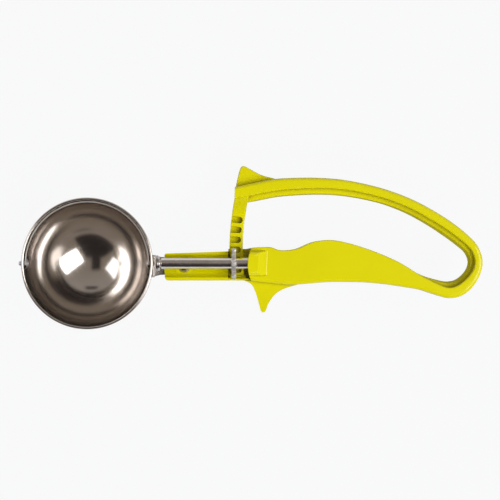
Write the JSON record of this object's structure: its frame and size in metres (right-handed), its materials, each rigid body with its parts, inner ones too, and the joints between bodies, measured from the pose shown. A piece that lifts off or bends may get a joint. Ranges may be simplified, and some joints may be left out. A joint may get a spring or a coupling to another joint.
{
  "type": "lever ice cream scoop",
  "caption": "Lever ice cream scoop: squeezing the sprung loop handle drives a rack and pinion that sweeps a steel blade round the inside of the bowl.",
  "frame": {"origin": "centre of the tool's box in X and Y, at the level of the bowl's lowest point", "axes": "+X from the bowl to the handle's bend, +Y across the handle towards the squeeze arm, +Z out of the bowl's mouth"},
  "size_m": [0.1962, 0.0691, 0.0339],
  "materials": {
    "bowl_steel": "spun and polished stainless steel",
    "blade_steel": "rolled and polished stainless steel strip",
    "strap_steel": "pressed stainless steel, tumbled",
    "shaft_steel": "ground stainless steel bar",
    "pinion_steel": "stamped stainless steel",
    "rivet_steel": "headed stainless steel",
    "handle_nylon": "injection-moulded nylon, satin gloss"
  },
  "bodies": {
    "handle": {"handle_grip": "handle_nylon", "spring_bend": "handle_nylon", "bowl": "bowl_steel", "bowl_bracket": "strap_steel", "neck_bush": "strap_steel", "thrust_washer": "shaft_steel", "cradle_rivet": "rivet_steel", "burr_washer": "rivet_steel"},
    "lever": {"squeeze_arm": "handle_nylon"},
    "sweep": {"drive_shaft": "shaft_steel", "pinion": "pinion_steel", "sweep_blade": "blade_steel", "pivot_pin": "rivet_steel"}
  },
  "joints": [
    {"name": "squeeze", "type": "hinge", "parent": "handle", "child": "lever", "pos_m": [0.09355, -0.00075, 0.0219], "axis": [0, 0, 1], "range_deg": [0, 9.3], "stiffness_Nm_per_rad": 8, "deforming": ["spring_bend"]},
    {"name": "blade_sweep", "type": "hinge", "parent": "handle", "child": "sweep", "pos_m": [-0.02895, -0.00675, 0.0274], "axis": [1, 0, 0], "range_deg": [-171.5, 0]}
  ],
  "couplings": [
    {"joint": "blade_sweep", "follows": "squeeze", "ratio": -18.356}
  ]
}
